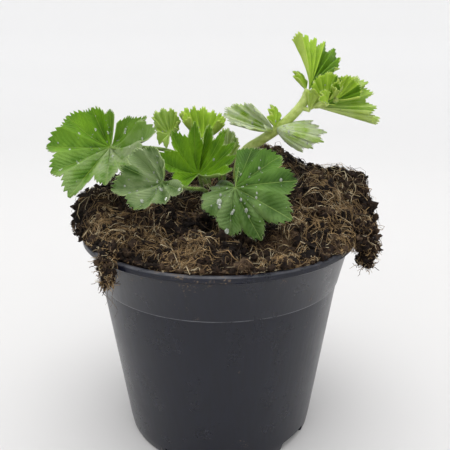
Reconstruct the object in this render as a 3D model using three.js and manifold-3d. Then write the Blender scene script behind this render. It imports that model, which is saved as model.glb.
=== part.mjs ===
// A young lady's mantle in its 17 cm nursery pot, in millimetres, +Z up.
// The pot stands on z = 0 with its axis on the Z axis, and -Y is the front.
import * as THREE from "three";
import { mergeVertices } from "three/addons/utils/BufferGeometryUtils.js";
import Module from "manifold-3d";

const wasm = await Module();
wasm.setup();

// Driving dimensions of the pot
const POT_HEIGHT = 134;
const POT_TOP_RADIUS = 85;
const POT_BASE_RADIUS = 62;
const POT_SIDES = 48;
const WALL = 1.6;
const FLOOR = 2.2;
const LIP_HEIGHT = 3.4;
const LIP_TOP_WIDTH = 2.2;
const LIP_ROUND = 1;
const LIP_FOOT_ROUND = 0.8;
const LIP_INNER_RADIUS = 79.8;
const COLLAR_TOP_RADIUS = 81.6;
const COLLAR_FOOT_RADIUS = 76.4;
const STEP_Z = 105.5;
const STEP = 0.8;
const STEP_ROUND = 0.4;
const FOOT_ROUND = 1.6;
const NOTCHES = 5;
const FIRST_NOTCH_ANGLE = -41;
const NOTCH_ARC = 22;
const NOTCH_HEIGHT = 6;
const NOTCH_DEPTH = 7;
const FLOOR_HOLE_RADIUS = 5;
const FLOOR_HOLE_CIRCLE = 38;
const FLOOR_HOLE_SIDES = 14;
const OVERCUT = 1;

// Driving dimensions of the soil
const CLEARANCE = 0.35;
const SEAM = 0.1;
const SOIL_SIDES = 54;
const SOIL_RINGS = 10;
const CROWN_Z = 160;
const LUMPS = 90;
const LUMP_REACH = 74;
const LUMP_HEIGHT = 8;
const LUMP_SUNK = 0.45;
const LUMP_SPREAD = 5;
const LUMP_SPREAD_MORE = 4;
const CROWN_DIP = 4;
const RING_EASE = 0.6;
const RIM_RISE = 0.9;
const OVERHANG_RISE = 1.5;
const HANG_REACH = 86.6;
const HANG_SPAN = 3;
const DROOP_REACH = 91.5;
const DROOP_SPAN = 4;
const DROOP = 5;
const EDGE_FALL = 9;
const FRONT_FALL = 1.3;
const SIDE_FALL = 13;

// Driving dimensions of the plant
const BLADE = 0.7;
const PETIOLE_RADIUS = 1.15;
const STEM_RADIUS = 3.1;
const PLEAT = 0.22;
const LOBE_DEPTH = 0.2;
const ROUNDNESS = 2.2;
const TOOTH_DEPTH = 0.055;
const LIFT_POWER = 1.6;
const BURIED_Z = 148;
const LARGE_LEAF_RINGS = [0.2, 0.52, 0.82];
const SMALL_LEAF_RINGS = [0.35, 0.82];
const PETIOLE = { sides: 6, steps: 10 };
const LEAFLET_STALK = { radius: 1.4, sides: 5, steps: 4 };
const STEM = { sides: 8, steps: 14 };

const COLOURS = {
  pot: 0x36383c,
  soil: 0x43362c,
  rootstock: 0x6b4a33,
  leaf: 0x5b8a3c,
  young: 0x86b23a,
};

const degrees = THREE.MathUtils.degToRad;

// Repeatable random numbers from 0 to 1, the same on every run.
function seeded(seed) {
  let state = seed;
  return () => {
    state = (state * 1664525 + 1013904223) % 4294967296;
    return state / 4294967296;
  };
}

// A closed three.js geometry as a manifold-3d solid.
function solidOf(geometry) {
  const bare = geometry.clone();
  bare.deleteAttribute("normal");
  bare.deleteAttribute("uv");
  const merged = mergeVertices(bare, 1e-4);
  return new wasm.Manifold(
    new wasm.Mesh({
      numProp: 3,
      vertProperties: new Float32Array(merged.attributes.position.array),
      triVerts: new Uint32Array(merged.index.array),
    }),
  );
}

// A manifold-3d solid as a named three.js mesh.
function meshOf(solid, name, colour, roughness) {
  const data = solid.getMesh();
  const geometry = new THREE.BufferGeometry();
  geometry.setAttribute("position", new THREE.BufferAttribute(data.vertProperties, 3));
  geometry.setIndex(new THREE.BufferAttribute(data.triVerts, 1));
  geometry.computeVertexNormals();
  const material = new THREE.MeshStandardMaterial({ color: colour, roughness, metalness: 0 });
  const mesh = new THREE.Mesh(geometry, material);
  mesh.name = name;
  return mesh;
}

// A closed profile of [radius, height] points, running anticlockwise, turned about the Z axis.
function turned(profile, sides) {
  const points = profile.map(([radius, height]) => new THREE.Vector2(radius, height));
  const geometry = new THREE.LatheGeometry(points, sides);
  geometry.rotateX(Math.PI / 2);
  return solidOf(geometry);
}

function cylinder(radius, bottom, top, x, y, sides) {
  const geometry = new THREE.CylinderGeometry(radius, radius, top - bottom, sides);
  geometry.rotateX(Math.PI / 2);
  geometry.translate(x, y, (top + bottom) / 2);
  return solidOf(geometry);
}

// The outside of the pot from the base's centre to the top of the lip, grown outwards by a gap.
function potOutside(grow) {
  const lipFoot = POT_HEIGHT - LIP_HEIGHT;
  return [
    [0, -grow],
    [POT_BASE_RADIUS - FOOT_ROUND, -grow],
    [POT_BASE_RADIUS + grow, FOOT_ROUND],
    [COLLAR_FOOT_RADIUS - STEP + grow, STEP_Z - grow],
    [COLLAR_FOOT_RADIUS + grow, STEP_Z + STEP_ROUND - grow],
    [COLLAR_TOP_RADIUS + grow, lipFoot - STEP_ROUND - grow],
    [POT_TOP_RADIUS - LIP_FOOT_ROUND, lipFoot - grow],
    [POT_TOP_RADIUS + grow, lipFoot + LIP_FOOT_ROUND - grow],
    [POT_TOP_RADIUS + grow, POT_HEIGHT - LIP_ROUND],
    [POT_TOP_RADIUS - LIP_ROUND, POT_HEIGHT + grow],
  ];
}

// The inside of the pot from the lip down to the floor's centre, shrunk inwards by a gap.
function potInside(shrink) {
  return [
    [LIP_INNER_RADIUS - shrink, POT_HEIGHT - LIP_ROUND],
    [COLLAR_TOP_RADIUS - WALL - shrink, POT_HEIGHT - LIP_HEIGHT - STEP_ROUND],
    [COLLAR_FOOT_RADIUS - WALL - shrink, STEP_Z + WALL],
    [COLLAR_FOOT_RADIUS - STEP - WALL - shrink, STEP_Z - STEP_ROUND],
    [POT_BASE_RADIUS - WALL - shrink, FLOOR + shrink],
    [0, FLOOR + shrink],
  ];
}

// A block of a ring between two radii and two heights, over an arc about its middle angle.
function sector(innerRadius, outerRadius, middle, arc, bottom, top) {
  const from = degrees(middle - arc / 2);
  const to = degrees(middle + arc / 2);
  const shape = new THREE.Shape();
  shape.absarc(0, 0, outerRadius, from, to, false);
  shape.absarc(0, 0, innerRadius, to, from, true);
  shape.closePath();
  const settings = { depth: top - bottom, bevelEnabled: false, curveSegments: 5 };
  const geometry = new THREE.ExtrudeGeometry(shape, settings);
  geometry.translate(0, 0, bottom);
  return solidOf(geometry);
}

function pot() {
  const lipTop = [LIP_INNER_RADIUS + LIP_TOP_WIDTH, POT_HEIGHT];
  let body = turned([...potOutside(0), lipTop, ...potInside(0)], POT_SIDES);
  for (let i = 0; i < NOTCHES; i++) {
    const angle = FIRST_NOTCH_ANGLE + (360 / NOTCHES) * i;
    const notch = sector(
      POT_BASE_RADIUS - NOTCH_DEPTH,
      POT_BASE_RADIUS + NOTCH_DEPTH,
      angle,
      NOTCH_ARC,
      -OVERCUT,
      NOTCH_HEIGHT,
    );
    body = body.subtract(notch);
    const between = degrees(angle + 180 / NOTCHES);
    const x = FLOOR_HOLE_CIRCLE * Math.cos(between);
    const y = FLOOR_HOLE_CIRCLE * Math.sin(between);
    const hole = cylinder(FLOOR_HOLE_RADIUS, -OVERCUT, FLOOR + OVERCUT, x, y, FLOOR_HOLE_SIDES);
    body = body.subtract(hole);
  }
  return body;
}

// The heaps of the mound, each as x, y, height and spread. The heap is highest at the back right.
const HEAPS = [
  [33, 28, 20, 25],
  [82, 12, 15, 24],
  [56, -14, 8, 17],
  [-86, -6, 11, 16],
  [-41, 27, 5, 23],
  [-20, 50, 12, 24],
  [34, 62, 14, 22],
  [14, -54, -7, 17],
  [93.7, -5, 18, 13],
];

function seededLumps() {
  const random = seeded(41);
  const lumps = [];
  for (let i = 0; i < LUMPS; i++) {
    const angle = random() * 2 * Math.PI;
    const distance = LUMP_REACH * Math.sqrt(random());
    const height = LUMP_HEIGHT * (random() - LUMP_SUNK);
    const spread = LUMP_SPREAD + LUMP_SPREAD_MORE * random();
    lumps.push([distance * Math.cos(angle), distance * Math.sin(angle), height, spread]);
  }
  return lumps;
}

const SOIL_LUMPS = seededLumps();

function bumpAt(x, y, [bumpX, bumpY, height, spread]) {
  const distance = Math.hypot(x - bumpX, y - bumpY) / spread;
  return height * Math.exp(-distance * distance);
}

// Where the soil bulges past the inside of the lip, each as angle in degrees from +X, spread and size.
const BULGES = [
  [-2, 30, 18.5],
  [176, 30, 13],
  [70, 28, 3],
  [-58, 9, 2],
];

// How far the soil reaches at an angle: it bulges over the rim at both sides.
function soilReach(angle) {
  return BULGES.reduce((reach, [middle, spread, size]) => {
    const off = ((((angle - middle + 180) % 360) + 360) % 360) - 180;
    return reach + size * Math.exp(-((off / spread) ** 2));
  }, LIP_INNER_RADIUS - CLEARANCE);
}

// How fully the soil lies over the lip at a reach: 0 inside the pot, 1 where it hangs over.
function overhang(reach) {
  return THREE.MathUtils.clamp((reach - HANG_REACH) / HANG_SPAN, 0, 1);
}

// The height of the mound's top at a place whose distance is a share of the reach there.
function soilTop(x, y, share, reach) {
  const rimLevel = POT_HEIGHT + RIM_RISE + OVERHANG_RISE * overhang(reach);
  const front = Math.max(0, -y / (Math.hypot(x, y) + 1));
  const fall = FRONT_FALL * front + SIDE_FALL * (1 - front) ** 2;
  const dome = rimLevel + (CROWN_Z - CROWN_DIP - rimLevel) * (1 - share ** fall);
  const edge = 1 - share ** EDGE_FALL;
  const heaps = HEAPS.reduce((sum, heap) => sum + bumpAt(x, y, heap), 0);
  const lumps = SOIL_LUMPS.reduce((sum, lump) => sum + bumpAt(x, y, lump), 0);
  return dome + edge * (heaps + lumps);
}

// One ring of the soil for each row: out over the top, round the overhang, then down inside the pot.
function soilRows() {
  const rows = [];
  for (let ring = 1; ring <= SOIL_RINGS; ring++) {
    const out = ring / SOIL_RINGS;
    const share = out * (1 + RING_EASE - RING_EASE * out);
    rows.push((angle) => {
      const reach = soilReach(angle);
      const x = share * reach * Math.cos(degrees(angle));
      const y = share * reach * Math.sin(degrees(angle));
      return [x, y, soilTop(x, y, share, reach)];
    });
  }
  // Under the overhang: back in over the lip, which it clears, then down inside the pot.
  const inner = LIP_INNER_RADIUS - CLEARANCE - SEAM;
  const overLip = POT_HEIGHT + CLEARANCE;
  const under = (outerAt, z, drooped) => (angle) => {
    const reach = soilReach(angle);
    const droop = drooped * THREE.MathUtils.clamp((reach - DROOP_REACH) / DROOP_SPAN, 0, 1);
    const radius = THREE.MathUtils.lerp(inner, outerAt(reach), overhang(reach));
    return [radius * Math.cos(degrees(angle)), radius * Math.sin(degrees(angle)), z - droop];
  };
  rows.push(under((reach) => reach - OVERHANG_RISE, overLip + 2 * SEAM, DROOP));
  rows.push(under(() => POT_TOP_RADIUS + 2 * LIP_ROUND - CLEARANCE, overLip + SEAM, DROOP / 2));
  rows.push(under(() => POT_TOP_RADIUS + LIP_ROUND, overLip + SEAM / 2, 0));
  rows.push(under(() => inner, overLip, 0));
  for (const [radius, z] of potInside(CLEARANCE + SEAM).slice(1, -1)) {
    rows.push((angle) => [radius * Math.cos(degrees(angle)), radius * Math.sin(degrees(angle)), z]);
  }
  return rows;
}

function soilBody() {
  const rows = soilRows();
  const positions = [0, 0, soilTop(0, 0, 0, soilReach(0))];
  for (const row of rows) {
    for (let i = 0; i < SOIL_SIDES; i++) positions.push(...row((360 / SOIL_SIDES) * i));
  }
  positions.push(0, 0, FLOOR + CLEARANCE);
  const last = positions.length / 3 - 1;
  const index = [];
  for (let i = 0; i < SOIL_SIDES; i++) {
    const next = (i + 1) % SOIL_SIDES;
    index.push(0, 1 + i, 1 + next);
    for (let row = 0; row < rows.length - 1; row++) {
      const here = 1 + row * SOIL_SIDES;
      const below = here + SOIL_SIDES;
      index.push(here + i, below + i, below + next, here + i, below + next, here + next);
    }
    const bottom = 1 + (rows.length - 1) * SOIL_SIDES;
    index.push(bottom + i, last, bottom + next);
  }
  const geometry = new THREE.BufferGeometry();
  geometry.setAttribute("position", new THREE.Float32BufferAttribute(positions, 3));
  geometry.setIndex(index);
  return solidOf(geometry);
}

// Clumps that hang over the lip: each a chain of lumps given as x, y, z and radius.
const HANGING_CLUMPS = [
  [
    [-60, -60, 141, 9.5],
    [-62.5, -64.5, 135, 7.5],
    [-60, -67.5, 129.5, 6.2],
    [-61.5, -69, 124, 4.6],
    [-59.5, -69.5, 119, 3.6],
  ],
  [
    [80, -38, 140, 9.5],
    [85.5, -36.5, 133, 7.5],
    [83.5, -40, 126.5, 5.5],
  ],
  [
    [-84, -31, 139, 7.5],
    [-86, -33, 132, 4.6],
  ],
];

// A rough ball: an icosahedron cut finer, with each corner moved in or out by up to ROUGHNESS.
const ROUGHNESS = 0.15;

function roughBall(x, y, z, radius, seed) {
  const random = seeded(seed);
  const bare = new THREE.IcosahedronGeometry(radius, 1);
  bare.deleteAttribute("normal");
  bare.deleteAttribute("uv");
  const ball = mergeVertices(bare, 1e-3);
  const position = ball.attributes.position;
  for (let i = 0; i < position.count; i++) {
    const scale = 1 + ROUGHNESS * (2 * random() - 1);
    position.setXYZ(i, position.getX(i) * scale, position.getY(i) * scale, position.getZ(i) * scale);
  }
  ball.translate(x, y, z);
  return solidOf(ball);
}

function soil(holes) {
  const balls = HANGING_CLUMPS.flat().map(([x, y, z, radius], i) => roughBall(x, y, z, radius, 100 + i));
  const clumps = balls.reduce((whole, ball) => whole.add(ball));
  const wholePot = turned([...potOutside(CLEARANCE), [0, POT_HEIGHT + CLEARANCE]], POT_SIDES);
  let body = soilBody().add(clumps.subtract(wholePot));
  for (const hole of holes) body = body.subtract(hole);
  return largest(body);
}

// A cut can leave a crumb behind: only the largest body is kept.
function largest(solid) {
  const bodies = solid.decompose();
  return bodies.reduce((most, body) => (body.volume() > most.volume() ? body : most));
}

// The leaf's own axes: across, out along the middle lobe, and up from the blade.
function leafAxes({ heading, pitch, roll }) {
  const [h, p, r] = [heading, pitch, roll].map(degrees);
  const tip = new THREE.Vector3(Math.cos(h) * Math.cos(p), Math.sin(h) * Math.cos(p), Math.sin(p));
  const level = new THREE.Vector3(Math.sin(h), -Math.cos(h), 0);
  const upright = new THREE.Vector3().crossVectors(level, tip);
  const across = level.multiplyScalar(Math.cos(r)).addScaledVector(upright, Math.sin(r));
  return [across, tip, new THREE.Vector3().crossVectors(across, tip)];
}

// The reach and the lift at the cuts between lobes and at both sides of the sinus. A cut comes
// between its two lobes, goes in by its depth and lies lower than they do by the leaf's fold.
function cutsOf(leaf) {
  const mean = (values) => {
    const padded = [values[0], ...values, values.at(-1)];
    return padded.slice(1).map((value, i) => (value + padded[i]) / 2);
  };
  const cutReach = mean(leaf.reach).map((reach, i) => reach * (1 - (leaf.cuts?.[i] ?? LOBE_DEPTH)));
  const cutLift = mean(leaf.lift).map((lift) => lift - (leaf.fold ?? 0));
  return { ...leaf, cutReach, cutLift };
}

// A point of the blade, at an angle in degrees from the middle lobe and at a share of the way to
// the margin. Every lobe, and every cut between two, has its own length and its own lift.
function bladePoint(leaf, angle, share, notch) {
  const lobes = leaf.reach.length;
  const width = leaf.span / lobes;
  const middle = (lobes - 1) / 2;
  const lobe = Math.min(Math.max(Math.floor(angle / width + middle + 0.5), 0), lobes - 1);
  const aside = (angle - (lobe - middle) * width) / (width / 2);
  const off = Math.abs(aside);
  const cut = aside > 0 ? lobe + 1 : lobe;
  const inwards = off ** (leaf.roundness ?? ROUNDNESS);
  const reach = leaf.reach[lobe] + (leaf.cutReach[cut] - leaf.reach[lobe]) * inwards;
  const smooth = off * off * (3 - 2 * off);
  const lift = leaf.lift[lobe] + (leaf.cutLift[cut] - leaf.lift[lobe]) * smooth;
  const turn = degrees(angle);
  const slope = (leaf.pleat ?? PLEAT) * (off - 0.5);
  const distance = leaf.radius * reach * (1 - notch) * share;
  const point = new THREE.Vector3(Math.sin(turn), Math.cos(turn), slope).setLength(distance);
  point.z += lift * share ** (leaf.rise ?? LIFT_POWER);
  const [across, tip, up] = leafAxes(leaf);
  return new THREE.Vector3(...leaf.at)
    .addScaledVector(across, point.x)
    .addScaledVector(tip, point.y)
    .addScaledVector(up, point.z);
}

// One ring of the blade: a number of steps for each lobe, at a share of the way out. The last
// ring has its teeth, which are every other point.
function bladeRing(leaf, share, stepsPerLobe, toothed) {
  const steps = stepsPerLobe * leaf.reach.length;
  const ring = [];
  for (let i = 0; i <= steps; i++) {
    const along = i / steps;
    const angle = (along - 0.5) * leaf.span;
    const notch = toothed && i % 2 === 0 ? TOOTH_DEPTH : 0;
    ring.push({ along, point: bladePoint(leaf, angle, share, notch) });
  }
  return ring;
}

// Triangles between two rings that may have different numbers of points.
function zipRings(inner, innerStart, outer, outerStart) {
  const triangles = [];
  let i = 0;
  let j = 0;
  while (i < inner.length - 1 || j < outer.length - 1) {
    const nextInner = i < inner.length - 1 ? inner[i + 1].along : Infinity;
    const nextOuter = j < outer.length - 1 ? outer[j + 1].along : Infinity;
    if (nextOuter <= nextInner) {
      triangles.push([innerStart + i, outerStart + j + 1, outerStart + j]);
      j += 1;
    } else {
      triangles.push([innerStart + i, innerStart + i + 1, outerStart + j]);
      i += 1;
    }
  }
  return triangles;
}

// The blade as one closed sheet, its two faces split into triangles alike.
function blade(plainLeaf) {
  const leaf = cutsOf(plainLeaf);
  const teeth = leaf.teeth ?? 7;
  const shares = leaf.small ? SMALL_LEAF_RINGS : LARGE_LEAF_RINGS;
  const rings = shares.map((share, i) => bladeRing(leaf, share, !leaf.small && i === 2 ? 4 : 2, false));
  rings.push(bladeRing(leaf, 1, 2 * teeth, true));
  const points = [new THREE.Vector3(...leaf.at)];
  const starts = [];
  for (const ring of rings) {
    starts.push(points.length);
    ring.forEach(({ point }) => points.push(point));
  }
  const face = [];
  for (let i = 0; i < rings[0].length - 1; i++) face.push([0, starts[0] + i + 1, starts[0] + i]);
  for (let r = 0; r < rings.length - 1; r++) {
    face.push(...zipRings(rings[r], starts[r], rings[r + 1], starts[r + 1]));
  }
  const sheet = new THREE.BufferGeometry().setFromPoints(points);
  sheet.setIndex(face.flat());
  sheet.computeVertexNormals();
  const normals = sheet.attributes.normal;
  const half = BLADE / 2;
  const positions = [];
  for (const side of [half, -half]) {
    points.forEach((point, i) => {
      const normal = new THREE.Vector3().fromBufferAttribute(normals, i);
      positions.push(...point.clone().addScaledVector(normal, side));
    });
  }
  const count = points.length;
  const index = [...face.flat()];
  face.forEach(([a, b, c]) => index.push(count + a, count + c, count + b));
  const edge = outline(rings, starts);
  edge.forEach((here, i) => {
    const next = edge[(i + 1) % edge.length];
    index.push(here, count + here, count + next, here, count + next, next);
  });
  const geometry = new THREE.BufferGeometry();
  geometry.setAttribute("position", new THREE.Float32BufferAttribute(positions, 3));
  geometry.setIndex(index);
  return solidOf(geometry);
}

// The points round the edge of a blade: out along one side of the sinus, round, and back.
function outline(rings, starts) {
  const firsts = starts;
  const lasts = starts.map((start, r) => start + rings[r].length - 1);
  const margin = rings.at(-1).map((_, i) => starts.at(-1) + i);
  return [0, ...lasts.slice(0, -1), ...margin.reverse(), ...firsts.slice(0, -1).reverse()];
}

// A stalk of a given radius along points that run from the soil up.
function stalk(points, radius, sides, steps) {
  const shape = new THREE.Shape();
  for (let i = 0; i < sides; i++) {
    const angle = (2 * Math.PI * i) / sides;
    const [x, y] = [radius * Math.cos(angle), radius * Math.sin(angle)];
    if (i === 0) shape.moveTo(x, y);
    else shape.lineTo(x, y);
  }
  shape.closePath();
  const curve = new THREE.CatmullRomCurve3(points.map((point) => new THREE.Vector3(...point)));
  const settings = { steps, extrudePath: curve, bevelEnabled: false };
  return solidOf(new THREE.ExtrudeGeometry(shape, settings));
}

// The leaves that rise from the crown, each with the way that its stalk takes to the blade.
// From one side of the sinus round to the other, reach and lift have one value for each lobe, and
// cuts has the depth of each cut as a share of its lobes, first and last at the sinus. fold is how
// far the cuts lie below the lobes, and a rise under LIFT_POWER lifts the blade nearer its middle.
const BASAL_LEAVES = [
  {
    name: "leaf_left",
    at: [-65.5, -4, 184.6],
    heading: 240,
    pitch: -24,
    roll: 16,
    teeth: 6,
    radius: 33,
    span: 335,
    reach: [0.45, 0.7, 1, 1.15, 1, 1.25, 1.15, 1.15, 0.95, 0.75, 0.4],
    lift: [19, 24, 27, 14, 3, -3, 0, 5, 15, 17, 20],
    cuts: [0.5, 0, 0.3, 0.2, 0.1, 0.25, 0.1, 0.15, 0.1, 0.1, 0.25, 0.2],
    fold: 5,
    way: [
      [-7, 4, BURIED_Z],
      [-10, 5, 164],
      [-26, 6, 179],
      [-46, 0, 184],
      [-58, -8, 184],
    ],
  },
  {
    name: "leaf_lower_left",
    at: [-30.5, -46, 172.6],
    heading: 154,
    pitch: -28,
    roll: 50,
    radius: 21.2,
    span: 320,
    reach: [0.95, 0.7, 0.95, 0.9, 0.45, 1, 0.75, 0.5],
    lift: [4, 2, 12, 21, 23, 15, 14, 9],
    cuts: [0.4, 0.2, 0.15, 0.2, 0.2, 0.35, 0.1, 0, 0.35],
    fold: 4,
    way: [
      [-6, -9, BURIED_Z],
      [-8, -15, 160],
      [-18, -32, 166],
    ],
  },
  {
    name: "leaf_centre",
    at: [-12, -14, 170.4],
    heading: 90,
    pitch: 24,
    roll: -16,
    radius: 19,
    span: 310,
    reach: [1.15, 1.5, 1.25, 0.9, 1, 0.8, 0.9, 0.95, 1.15],
    lift: [6, 15, 24, 29, 27, 29, 27, 25, 23],
    cuts: [0.2, 0.25, 0.35, 0.25, 0.6, 0.3, 0.2, 0.25, 0.25, 0.1],
    fold: 12,
    pleat: 0.35,
    roundness: 1.5,
    way: [
      [-10, -4, BURIED_Z],
      [-10.5, -7, 160],
    ],
  },
  {
    name: "leaf_front",
    at: [8.5, -42, 168.4],
    heading: 282,
    pitch: -32,
    roll: -40,
    teeth: 6,
    radius: 27.5,
    span: 325,
    reach: [1, 1.1, 1.2, 1.25, 1, 0.9, 0.75, 0.75, 1],
    lift: [1, -3, -5, -9, -13, -7, 8, 4, -9],
    cuts: [0.05, 0.05, 0.15, 0.1, 0.3, 0.2, 0.15, 0.1, 0.2, 0.5],
    fold: 4,
    way: [
      [9, -8, BURIED_Z],
      [11, -7, 168],
      [13, -9, 181],
      [12, -22, 182],
      [10.5, -34, 177],
    ],
  },
  {
    name: "leaf_back_left",
    at: [-31, 12, 190.6],
    heading: 118,
    pitch: 20,
    roll: 23,
    radius: 10,
    span: 300,
    reach: [0.9, 0.95, 0.8, 1, 1.05, 1.05, 1, 0.9, 0.75],
    lift: [-3, -1, 9, 13, 13, 12, 12, 8, 5],
    pleat: 0.5,
    teeth: 5,
    small: true,
    young: true,
    way: [
      [-5, 11, BURIED_Z],
      [-8, 13, 164],
      [-20, 15, 180],
    ],
  },
  {
    name: "leaf_back",
    at: [-10.3, 14, 187.8],
    heading: 92,
    pitch: 11,
    roll: -3,
    radius: 15,
    span: 260,
    reach: [0.95, 1.05, 0.9, 0.95, 0.95, 0.85, 0.95, 0.95],
    lift: [14, 16, 16, 16, 15, 14, 14, 13],
    pleat: 0.4,
    teeth: 4,
    young: true,
    way: [
      [1, 12, BURIED_Z],
      [0, 13, 164],
      [-5, 14, 178],
    ],
  },
  {
    name: "leaf_young_right",
    at: [4.2, 0, 176.2],
    heading: 78,
    pitch: 16,
    roll: -16,
    radius: 8,
    span: 200,
    reach: [1.05, 1.05, 1, 1, 0.9, 0.8],
    lift: [17, 18, 17, 14, 11, 7],
    pleat: 0.4,
    teeth: 5,
    small: true,
    young: true,
    way: [
      [2.5, 2, BURIED_Z],
      [3, 2, 164],
    ],
  },
];

// The shoot's stem, from the soil to the head, and the leaves that sit on it.
const STEM_WAY = [
  [12, 9, BURIED_Z],
  [12, 8.5, 168],
  [16, 5, 180.6],
  [26, 1.5, 188.3],
  [34, 0, 194],
  [42.7, 0, 201.6],
  [50, 0, 210],
  [53.5, 0, 218],
];

const SHOOT_LEAVES = [
  {
    name: "lower left",
    at: [31.8, -2, 194.7],
    heading: 117,
    pitch: -26,
    roll: 57,
    radius: 10.5,
    span: 300,
    reach: [1, 0.8, 0.75, 0.95, 1, 1, 0.9, 0.75, 0.5],
    lift: [8, 15, 21, 25, 30, 28, 22, 20, 11],
    teeth: 4,
    small: true,
  },
  {
    name: "lower right",
    at: [34.6, -4, 195.5],
    heading: 288,
    pitch: 34,
    roll: -70,
    radius: 12,
    span: 280,
    reach: [1, 0.95, 0.9, 0.8, 0.95, 1, 0.85, 0.85, 0.65],
    lift: [-11, -16, -19, -22, -26, -25, -21, -17, -11],
    teeth: 4,
    small: true,
  },
  {
    name: "stipule",
    at: [33.5, -3, 196.6],
    heading: 121,
    pitch: 77,
    roll: -28,
    radius: 13,
    span: 160,
    reach: [0.95, 0.95, 1.05, 1, 1],
    lift: [2, 1, 0, 0, 0],
    teeth: 3,
    small: true,
  },
  {
    name: "fan",
    at: [57, -6, 208.5],
    heading: 80,
    pitch: 0,
    roll: -85,
    radius: 20,
    span: 230,
    reach: [0.75, 0.85, 0.95, 1.05, 1.1, 1.1, 0.85, 0.6, 0.35],
    lift: [14, 20, 26, 32, 33, 36, 36, 34, 31],
    rise: 1,
    teeth: 4,
    way: [
      [52, 0, 212],
      [55, -3, 210],
    ],
  },
  {
    name: "upright",
    at: [53.3, 0, 217.9],
    heading: 90,
    pitch: 0,
    roll: -22,
    radius: 20,
    span: 180,
    reach: [1.05, 1.05, 1, 1, 1.1, 1.15, 0.8, 0.55],
    lift: [25, 26, 27, 28, 28, 25, 20, 13],
    rise: 0.7,
    teeth: 4,
  },
  {
    name: "tip",
    at: [52, 1.5, 217.5],
    heading: 148,
    pitch: 60,
    roll: -5,
    radius: 12,
    span: 100,
    reach: [1.05, 1.15, 1.1, 0.95],
    lift: [0, 0, 0, 0],
    teeth: 3,
    small: true,
  },
  {
    name: "bud left",
    at: [61.3, -12, 212.8],
    heading: 69,
    pitch: 26,
    roll: -1,
    radius: 9.5,
    span: 240,
    reach: [0.9, 0.9, 1, 0.95, 0.95, 0.9],
    lift: [8, 11, 12, 13, 11, 8],
    teeth: 3,
    small: true,
    way: [
      [57, -6, 209],
      [59, -9, 211],
    ],
  },
  {
    name: "bud right",
    at: [68.1, -12, 213.4],
    heading: 75,
    pitch: 38,
    roll: -42,
    radius: 10,
    span: 220,
    reach: [0.95, 0.95, 0.9, 1, 0.95, 0.8],
    lift: [6, 9, 11, 11, 11, 10],
    teeth: 3,
    small: true,
    way: [
      [57, -6, 209],
      [62, -9, 211.5],
    ],
  },
  {
    name: "bud front",
    at: [61.1, -16, 210.9],
    heading: 123,
    pitch: 64,
    roll: -15,
    radius: 8.5,
    span: 200,
    reach: [1.1, 1, 0.95, 0.9, 0.9],
    lift: [2, 2, 2, 2, 1],
    teeth: 3,
    small: true,
    way: [
      [57, -6, 209],
      [59.5, -11, 209.5],
    ],
  },
  {
    name: "sheath",
    at: [53.5, -4, 206.5],
    heading: 270,
    pitch: 10,
    roll: 25,
    radius: 7,
    span: 250,
    reach: [1, 1, 1, 1, 1],
    lift: [9, 9, 9, 9, 9],
    rise: 1,
    teeth: 2,
    small: true,
    way: [
      [48.5, 0, 207.5],
      [51.5, -2, 207],
    ],
  },
];

function basalLeaf(leaf) {
  const way = [...leaf.way, leaf.at];
  return blade(leaf).add(stalk(way, PETIOLE_RADIUS, PETIOLE.sides, PETIOLE.steps));
}

function rightShoot() {
  let shoot = stalk(STEM_WAY, STEM_RADIUS, STEM.sides, STEM.steps);
  for (const leaf of SHOOT_LEAVES) {
    shoot = shoot.add(blade(leaf));
    if (!leaf.way) continue;
    const { radius, sides, steps } = LEAFLET_STALK;
    shoot = shoot.add(stalk([...leaf.way, leaf.at], radius, sides, steps));
  }
  return largest(shoot);
}

// The crown that the stalks rise round: a few knobs, sunk in the soil.
const KNOBS = [
  [1.5, -6, 155, 4.6],
  [2.5, -5.5, 159.5, 3.8],
];
const ROOTSTOCK_HOLE = { radius: 5.8, sides: 10, headroom: 20 };

function rootstock() {
  const balls = KNOBS.map(([x, y, z, radius], i) => roughBall(x, y, z, radius, 200 + i));
  return balls.reduce((whole, ball) => whole.add(ball));
}

function rootstockHole() {
  const [x, y, z, knob] = KNOBS[0];
  const { radius, sides, headroom } = ROOTSTOCK_HOLE;
  return cylinder(radius, z - knob - OVERCUT, CROWN_Z + headroom, x, y, sides);
}

// A hole in the soil round a stalk that goes a little deeper than the stalk does.
function stalkHole(way, radius, { sides, steps }) {
  const [x, y, z] = way[0];
  const deeper = [[x, y, z - CLEARANCE], ...way.slice(1)];
  return stalk(deeper, radius + CLEARANCE, sides, steps);
}

const group = new THREE.Group();
const holes = [
  ...BASAL_LEAVES.map((leaf) => stalkHole([...leaf.way, leaf.at], PETIOLE_RADIUS, PETIOLE)),
  stalkHole(STEM_WAY, STEM_RADIUS, STEM),
  rootstockHole(),
];
group.add(meshOf(pot(), "pot", COLOURS.pot, 0.45));
group.add(meshOf(soil(holes), "soil", COLOURS.soil, 1));
group.add(meshOf(rootstock(), "rootstock", COLOURS.rootstock, 0.9));
for (const leaf of BASAL_LEAVES) {
  const colour = leaf.young ? COLOURS.young : COLOURS.leaf;
  group.add(meshOf(basalLeaf(leaf), leaf.name, colour, 0.55));
}
group.add(meshOf(rightShoot(), "right_shoot", COLOURS.young, 0.55));

export default group;
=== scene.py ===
"""A young lady's mantle in its 17 cm nursery pot. Metres, +Z up, the front towards -Y."""

import random
from math import ceil, cos, degrees, exp, floor, hypot, pi, radians, sin, sqrt

import bmesh
import bpy
from mathutils import Matrix, Vector, noise


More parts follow.
